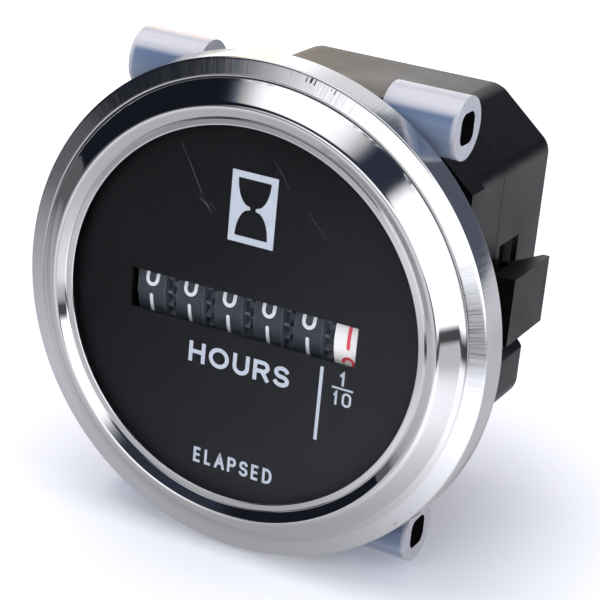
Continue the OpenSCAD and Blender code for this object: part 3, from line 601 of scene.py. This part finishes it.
def on_dial(block, lift=0.005):
    """Puts a flat block on the dial's face: u goes right, v up, and thickness forward."""
    grid, rows, cols, capped = block
    h = DIAL_FRONT + lift + grid[..., 2]
    return np.stack([grid[..., 0], -h, grid[..., 1]], -1), rows, cols, capped


def on_drum(block, centre_x, lift=0.005):
    """Wraps a flat block on a drum: v over the drum's radius is an angle, thickness adds to the radius."""
    grid, rows, cols, capped = block
    turn = grid[..., 1] / DRUM_R
    r = DRUM_R + lift + grid[..., 2]
    place = np.stack([centre_x + grid[..., 0], DRUM_Y - r * np.cos(turn), DRUM_Z + r * np.sin(turn)], -1)
    return place, rows, cols, capped


def hourglass():
    """White box with an hourglass left open in it: each half lies between the box's side and a curve
    that follows a quarter ellipse from a bulb's flat end to the neck."""
    half_w, low, high, border = 2.82, 8.32, 16.43, 0.62
    middle = (low + high) / 2
    bulb_end, neck_end, wide, neck = high - border - 0.14, middle + 0.16, 2.02, 0.36
    t = np.linspace(0, 1, 24)
    ellipse = neck + (wide - neck) * np.sqrt(np.clip(1 - t ** 2, 0, 1))
    z = bulb_end + (neck_end - bulb_end) * t
    upper = np.stack([ellipse, z], -1)
    lower = np.stack([ellipse, 2 * middle - z], -1)[::-1]
    edge = np.concatenate([[(0, high), (0, bulb_end)], upper, lower,
                           [(0, 2 * middle - bulb_end), (0, low)]])
    side = np.stack([np.full(len(edge), half_w), edge[:, 1]], -1)
    mirror = np.array([-1.0, 1.0])
    return [between(edge, side), between(side * mirror, edge * mirror)]


def dial_print():
    """All the dial's white print in one piece: symbol, two words, a line and a fraction."""
    blocks = hourglass()
    # each word: its two x places, its base line, its cap height, half its stroke and its gap
    blocks += word("HOURS", -6.55, 6.28, -7.05, 2.45, 0.24, 0.5)
    blocks += word("ELAPSED", -4.95, 5.25, -19.15, 1.85, 0.16, 0.42)
    blocks.append(stroke([(10.1, -12.0), (10.1, -3.25)], 0.2))
    blocks.append(stroke([(11.5, -5.2), (14.05, -5.2)], 0.11))
    blocks += word("10", 11.75, 13.95, -7.2, 1.65, 0.13, 0.42)
    blocks += word("1", 12.3, 13.15, -4.85, 1.65, 0.13, 0.42)
    return mesh_object("dial_print", [on_dial(b) for b in blocks], "case", PRINT_INK)


def lens_marks():
    """Hair scratches and dust on the lens: thin strokes, and specks that are about as long as wide."""
    hairs = [([(-8.84, 18.56), (-7.5, 16.3), (-5.6, 13.0)], 0.022),
             ([(-5.9, 12.6), (-5.0, 12.0), (-4.35, 11.35)], 0.035),
             ([(-5.55, 12.65), (-4.75, 12.0)], 0.022), ([(-4.6, 12.35), (-3.9, 11.75)], 0.02),
             ([(2.6, 18.9), (4.0, 17.2), (4.7, 16.0)], 0.012), ([(7.2, 14.2), (9.6, 11.6)], 0.012)]
    specks = 46
    rng = np.random.default_rng(5)
    turn = rng.uniform(0, 2 * np.pi, specks)
    out = VIEW_R * np.sqrt(rng.uniform(0.02, 0.97, specks))
    size = rng.uniform(0.02, 0.05, specks)
    spot = np.stack([out * np.cos(turn), out * np.sin(turn)], -1)
    ends = spot + size[:, None] * (1.4, 0.9)
    hairs += [([a, b], half) for a, b, half in zip(spot, ends, size)]
    lift = LENS_FRONT - DIAL_FRONT + 0.004
    blocks = [on_dial(stroke(line, half, rounded=True, thick=FILM), lift) for line, half in hairs]
    return mesh_object("lens_marks", blocks, "case", lens_dust())


def drum_digits(index, body, ink, first, half_w, half_h, half):
    """Ten numbers round one drum, a tenth of its girth apart, going down as they grow."""
    x = (index - DRUM_MIDDLE) * DRUM_PITCH
    scale = np.array([half_w - half, half_h - half])
    blocks = []
    for number in range(10):
        for path, closed in GLYPHS["I" if number == 1 else str(number)]:
            line = np.asarray(path, float) * scale + (0, first - number * DIGIT_PITCH)
            blocks.append(on_drum(stroke(line, half, closed, rounded=not closed), x))
    return mesh_object("numbers_" + body, blocks, body, ink)


def softened(node, body, name, slot, *rounds):
    """A copy of a solid with rounded edges: corners merged, flat faces joined, then for each rounding the
    sharp edges that it picks by their two end points are bevelled by its width."""
    mesh = nodes[node].data.copy()
    bm = bmesh.new()
    bm.from_mesh(mesh)
    bmesh.ops.remove_doubles(bm, verts=bm.verts, dist=2e-6)
    bmesh.ops.dissolve_limit(bm, angle_limit=math.radians(0.5), verts=bm.verts, edges=bm.edges)
    for pick, width, segments in rounds:
        edges = [e for e in bm.edges if len(e.link_faces) == 2 and e.calc_face_angle(0) > math.radians(20)
                 and e.is_convex and pick(np.array(e.verts[0].co) / MM, np.array(e.verts[1].co) / MM)]
        bmesh.ops.bevel(bm, geom=edges, offset=width * MM, offset_type="OFFSET", segments=segments,
                        profile=0.5, affect="EDGES", clamp_overlap=True)
    bm.to_mesh(mesh)
    bm.free()
    mesh.name = name
    obj = finished(name, mesh, body, MATERIALS[slot])
    normals = obj.modifiers.new("face_normals", "WEIGHTED_NORMAL")
    normals.keep_sharp = True
    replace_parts(obj, node)
    return obj


def outside(p, margin):
    """True where a point lies on or outside the case's octagon shrunk by a margin."""
    x, z = abs(p[0]), abs(p[2])
    across = CORNER_H * (x - CASE_HALF_W) + CORNER_W * (z - CASE_HALF_H + CORNER_H)
    corner = across / math.hypot(CORNER_W, CORNER_H) > -margin
    return x > CASE_HALF_W - margin or z > CASE_HALF_H - margin or corner


def case_ridge(a, b):
    """The shells' eight long outside edges, and those of the neck, which run along y."""
    along_y = np.hypot(a[0] - b[0], a[2] - b[2]) < 0.01 and abs(a[1] - b[1]) > 2.0
    at_side = abs(abs(a[2]) - (CASE_HALF_H - CORNER_H)) < 1.5
    at_top = abs(abs(a[0]) - (CASE_HALF_W - CORNER_W)) < 1.5
    return along_y and (at_side or at_top) and outside(a, 1.2)


def case_rim(a, b):
    """The edge round the back of the case."""
    return min(a[1], b[1]) > CASE_BACK - 0.01 and outside(a, 0.6) and outside(b, 0.6)


def clamp_edge(a, b):
    """The clamp's edges that are long enough to round."""
    return np.linalg.norm(a - b) > 1.2


def sleeve_edge(a, b):
    """The round edges at a sleeve's two ends."""
    at_end = abs(abs(a[0]) - SLEEVE_END) < 0.02
    at_start = abs(abs(a[0]) - SLEEVE_START) < 0.06 and abs(a[2]) > SLEEVE_Z + 0.3
    return (at_end or at_start) and abs(a[0] - b[0]) < 0.02


for part in frame["record"]["subparts"]:
    holder = nodes[part["node"]]
    holder.data.materials.clear()
    holder.data.materials.append(MATERIALS[part["material_slot"]])

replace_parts(bezel_ring(), "bezel")
band_nicks()
dial_print()
lens_marks()
# each drum: its body, its ink, and how far up its number 0 stands
black_drums = ("ten_thousands_drum", "thousands_drum", "hundreds_drum", "tens_drum", "hours_drum")
drums = [(body, DIGIT_INK, 1.72) for body in black_drums]
drums.append(("tenths_drum", RED_INK, 0.6 + DIGIT_PITCH))
for place, (body, ink, first) in enumerate(drums):
    drum_digits(place, body, ink, first, half_w=0.86, half_h=1.43, half=0.21)
softened("front_case", "case", "front_shell", "case_plastic", (case_ridge, 1.1, 5))
softened("rear_case", "case", "rear_shell", "case_plastic", (case_ridge, 1.1, 5), (case_rim, 0.5, 3))
softened("panel_clamp", "clamp", "clamp_moulding", "clamp_plastic", (clamp_edge, 0.22, 3))
for corner in ("upper_left", "upper_right", "lower_left", "lower_right"):
    softened("sleeve_" + corner, "clamp", "soft_sleeve_" + corner, "silicone", (sleeve_edge, 0.3, 3))


def studio():
    """White studio: seen white by the camera and through clear pieces, even and soft for dull pieces.
    What shines sees cards in it, each bounded by straight edges in azimuth from the front and height.
    Dark cards are tinted blue and the brightest one warm."""
    world = bpy.data.worlds.new("studio")
    bpy.context.scene.world = world
    world.use_nodes = True
    tree = world.node_tree
    tree.nodes.clear()
    way = add(tree, "SeparateXYZ", {"Vector": add(tree, "TexCoord").outputs["Generated"]})
    front = add(tree, "Math", {0: way.outputs["Y"], 1: -1.0}, operation="MULTIPLY")
    turn = add(tree, "Math", {0: way.outputs["X"], 1: front}, operation="ARCTAN2")
    azimuth = add(tree, "Math", {0: turn}, operation="DEGREES")
    rise = add(tree, "Math", {0: way.outputs["Z"]}, operation="ARCSINE")
    height = add(tree, "Math", {0: rise}, operation="DEGREES")
    # each card: its level, the softness of its edges, and edges as (a, e, c), where the card lies on the
    # side with a * azimuth + e * height > c; a later card covers the ones before it
    cards = [
        # the ceiling, and the wall behind on the right and on the left
        (1.2, 3.0, [(0.0, 1.0, 67.0)]),
        (0.2, 7.0, [(1.0, 0.0, 104.0), (0.0, 1.0, -20.0), (0.0, -1.0, -66.0)]),
        (1.0, 5.0, [(-1.0, 0.0, 142.0), (0.0, -1.0, -66.0)]),
        # a warm window behind on the left, and a greyer card at front left
        (2.3, 8.0, [(1.0, 0.0, -157.0), (-1.0, 0.0, 140.0), (0.0, 1.0, 2.0), (0.0, -1.0, -40.0)]),
        (0.95, 5.0, [(-1.0, 0.0, 20.0), (0.0, 1.0, -10.0), (0.0, -1.0, -25.0), (1.0, 0.0, -45.0)]),
        # two dark cards on the left, the first with a slanted edge
        (0.1, 6.0, [(-1.0, 1.28, 9.7), (0.0, 1.0, 20.0), (0.07, -1.0, -56.5), (1.0, 0.0, -140.0)]),
        (0.03, 6.0, [(-1.0, 0.0, 29.0), (0.0, 1.0, -6.0), (0.07, -1.0, -56.0), (1.0, 0.0, -140.0)]),
    ]
    level = 1.8
    for value, soft, edges in cards:
        mask = 1.0
        for a, e, c in edges:
            across = add(tree, "Math", {0: azimuth, 1: a, 2: -c}, operation="MULTIPLY_ADD")
            inside = add(tree, "Math", {0: height, 1: e, 2: across}, operation="MULTIPLY_ADD")
            step = add(tree, "MapRange", {"Value": inside, "From Min": -soft, "From Max": soft},
                       interpolation_type="SMOOTHSTEP")
            mask = add(tree, "Math", {0: step, 1: mask}, operation="MULTIPLY")
        level = add(tree, "Mix", {0: mask, 2: level, 3: value})
    path = add(tree, "LightPath")
    shiny = path.outputs["Is Glossy Ray"]
    power = add(tree, "Mix", {0: shiny, 2: 0.5, 3: level})
    dim = add(tree, "MapRange", {"Value": level, "From Min": 0.5, "From Max": 0.1})
    cool = add(tree, "Mix", {0: dim, 6: linear("FCFCFF"), 7: linear("A4B4DC")}, data_type="RGBA")
    high = add(tree, "MapRange", {"Value": level, "From Min": 1.82, "From Max": 2.1})
    hue = add(tree, "Mix", {0: high, 6: cool, 7: linear("FFE9C8")}, data_type="RGBA")
    tint = add(tree, "Mix", {0: shiny, 6: linear("E9EAFF"), 7: hue}, data_type="RGBA")
    around = add(tree, "Background", {"Color": tint, "Strength": power})
    white = add(tree, "Background", {"Color": linear("FFFFFF"), "Strength": 1.0})
    seen = add(tree, "Math", {0: path.outputs["Is Camera Ray"], 1: path.outputs["Is Transmission Ray"]},
               operation="MAXIMUM")
    both = add(tree, "MixShader", {0: seen, 1: around, 2: white})
    add(tree, "OutputWorld", {"Surface": both})


def floor():
    """Pale floor: a flat grid far wider than the meter. The camera sees it lit, with an added glow that is
    weaker near the meter and weakest under it. Metal sees cards instead: shade under the meter, a fade to
    the left, bright patches at front right and front left, a dark strip and blot in front, dusk behind."""
    material, tree = blank("pale_floor")
    place = add(tree, "TexCoord").outputs["Object"]
    axes = add(tree, "SeparateXYZ", {"Vector": place})
    x, y = axes.outputs["X"], axes.outputs["Y"]
    middles = {"shade": (0.0, 8.0), "patch": (50.0, -50.0), "gleam": (-50.0, -105.0), "dusk": (60.0, 90.0)}
    gap = {name: add(tree, "VectorMath", {0: place, 1: (mid_x * MM, mid_y * MM, FLOOR_Z * MM)},
                     operation="DISTANCE") for name, (mid_x, mid_y) in middles.items()}
    shade = add(tree, "MapRange", {"Value": gap["shade"], "From Min": 2.0 * MM, "From Max": 55.0 * MM,
                                   "To Min": 0.56})
    patch = add(tree, "MapRange", {"Value": gap["patch"], "From Min": 60.0 * MM, "From Max": 20.0 * MM,
                                   "To Max": 0.95}, interpolation_type="SMOOTHSTEP")
    gleam = add(tree, "MapRange", {"Value": gap["gleam"], "From Min": 55.0 * MM, "From Max": 20.0 * MM,
                                   "To Max": 0.45})
    dusk = add(tree, "MapRange", {"Value": gap["dusk"], "From Min": 100.0 * MM, "From Max": 50.0 * MM,
                                  "To Max": 0.2})
    slant = add(tree, "VectorMath", {0: place, 1: (-1.0, -0.1, 0.0)}, operation="DOT_PRODUCT")
    fade = add(tree, "MapRange", {"Value": slant, "From Min": 40.0 * MM, "From Max": 220.0 * MM,
                                  "To Min": 0.84, "To Max": 0.16})
    right = add(tree, "MapRange", {"Value": x, "From Min": 20.0 * MM, "From Max": 40.0 * MM})
    beyond = add(tree, "MapRange", {"Value": y, "From Min": -85.0 * MM, "From Max": -100.0 * MM,
                                    "To Max": 1.1})
    ahead = add(tree, "Math", {0: beyond, 1: right}, operation="MULTIPLY")
    bright = patch
    for more in (fade, ahead, gleam):
        bright = add(tree, "Math", {0: bright, 1: more}, operation="ADD")
    # painted reflection: metal sees these cards as the floor's glow, with painted shade under the meter
    card = add(tree, "Math", {0: bright, 1: shade}, operation="MULTIPLY")
    near = add(tree, "Math", {0: x, 1: 0.04, 2: y}, operation="MULTIPLY_ADD")
    far = add(tree, "Math", {0: x, 1: 0.19, 2: y}, operation="MULTIPLY_ADD")
    start = add(tree, "MapRange", {"Value": near, "From Min": -72.0 * MM, "From Max": -86.0 * MM})
    stop = add(tree, "MapRange", {"Value": far, "From Min": -140.0 * MM, "From Max": -92.0 * MM})
    strip = add(tree, "Math", {0: start, 1: stop}, operation="MULTIPLY")
    strip = add(tree, "Math", {0: strip, 1: right}, operation="MULTIPLY")
    spot = add(tree, "VectorMath", {0: place, 1: (41.0 * MM, -200.0 * MM, FLOOR_Z * MM)},
               operation="SUBTRACT")
    oval = add(tree, "VectorMath", {0: spot, 1: (3.4, 1.0, 1.0)}, operation="MULTIPLY")
    reach = add(tree, "VectorMath", {0: oval}, operation="LENGTH")
    blot = add(tree, "MapRange", {"Value": reach, "From Min": 130.0 * MM, "From Max": 80.0 * MM})
    dark = add(tree, "Math", {0: strip, 1: blot}, operation="MAXIMUM")
    card = add(tree, "Mix", {0: dusk, 2: card, 3: 0.15})
    card = add(tree, "Mix", {0: dark, 2: card, 3: 0.1})
    path = add(tree, "LightPath")
    shiny = path.outputs["Is Glossy Ray"]
    tone = add(tree, "Mix", {0: shiny, 6: linear("EDEFF3"), 7: linear("000000")}, data_type="RGBA")
    diffuse = add(tree, "BsdfDiffuse", {"Color": tone})
    seen = add(tree, "Math", {0: path.outputs["Is Camera Ray"], 1: path.outputs["Is Transmission Ray"]},
               operation="MAXIMUM")
    # painted shadow: the glow that the camera sees is weaker near the meter and weakest under it
    away = add(tree, "MapRange", {"Value": gap["shade"], "From Min": 120.0 * MM, "From Max": 500.0 * MM,
                                  "To Min": 0.43})
    deep = add(tree, "MapRange", {"Value": gap["shade"], "From Min": 15.0 * MM, "From Max": 45.0 * MM,
                                  "To Min": 0.4})
    lift = add(tree, "Math", {0: seen, 1: away}, operation="MULTIPLY")
    lift = add(tree, "Math", {0: lift, 1: deep}, operation="MULTIPLY")
    power = add(tree, "Mix", {0: shiny, 2: lift, 3: card})
    glow = add(tree, "Emission", {"Color": linear("F8F8FF"), "Strength": power})
    both = add(tree, "AddShader", {0: diffuse, 1: glow})
    add(tree, "OutputMaterial", {"Surface": both})
    half_width, count = 3.0, 7
    span = np.linspace(-half_width, half_width, count)
    across, back = np.meshgrid(span, span, indexing="ij")
    grid = np.stack([across, back, np.full_like(across, FLOOR_Z * MM)], -1)
    mesh = bpy.data.meshes.new("floor")
    mesh.from_pydata(grid.reshape(-1, 3).tolist(), [], grid_quads(count, count).tolist())
    mesh.materials.append(material)
    plane = bpy.data.objects.new("floor", mesh)
    bpy.context.scene.collection.objects.link(plane)


def softbox(name, place, size, power, colour):
    """A square lamp that faces the meter; metal sees the studio's cards in its stead."""
    lamp = bpy.data.lights.new(name, "AREA")
    lamp.shape = "SQUARE"
    lamp.size = size
    lamp.energy = power
    lamp.color = linear(colour)[:3]
    obj = bpy.data.objects.new(name, lamp)
    bpy.context.scene.collection.objects.link(obj)
    back = np.array(place) / np.linalg.norm(place)
    side = np.cross((0.0, 0.0, 1.0) if abs(back[2]) < 0.95 else (0.0, 1.0, 0.0), back)
    side /= np.linalg.norm(side)
    turn = np.stack([side, np.cross(back, side), back], -1)
    obj.matrix_world = Matrix.Translation(place) @ Matrix(turn.tolist()).to_4x4()
    obj.visible_glossy = False


def camera():
    """Camera at the photo's angle: azimuth, elevation and roll turn its axes, and 2000 px of focal
    length on 600 px make a 120 mm lens on a 36 mm sensor."""
    place = (94.654, -185.711, 80.847)
    az, el, roll = (math.radians(a) for a in (25.84, 20.93, 5.53))
    back = np.array([math.sin(az) * math.cos(el), -math.cos(az) * math.cos(el), math.sin(el)])
    right = np.array([math.cos(az), math.sin(az), 0.0])
    up = np.cross(back, right)
    across = math.cos(roll) * right + math.sin(roll) * up
    tall = -math.sin(roll) * right + math.cos(roll) * up
    data = bpy.data.cameras.new("camera")
    data.sensor_width = 36.0
    data.lens = 120.0
    data.clip_start = 0.01
    obj = bpy.data.objects.new("camera", data)
    bpy.context.scene.collection.objects.link(obj)
    turn = Matrix(np.stack([across, tall, back], -1).tolist()).to_4x4()
    obj.matrix_world = Matrix.Translation([c * MM for c in place]) @ turn
    bpy.context.scene.camera = obj


studio()
floor()
softbox("overhead", (-0.12, -0.12, 0.55), size=0.4, power=1.6, colour="FFFDF8")
softbox("right_fill", (0.5, -0.15, 0.3), size=0.3, power=0.7, colour="FFFFFF")
softbox("front_fill", (-0.15, -0.6, 0.25), size=0.35, power=0.8, colour="FFFFFF")
camera()
bpy.context.scene.view_settings.view_transform = "Standard"
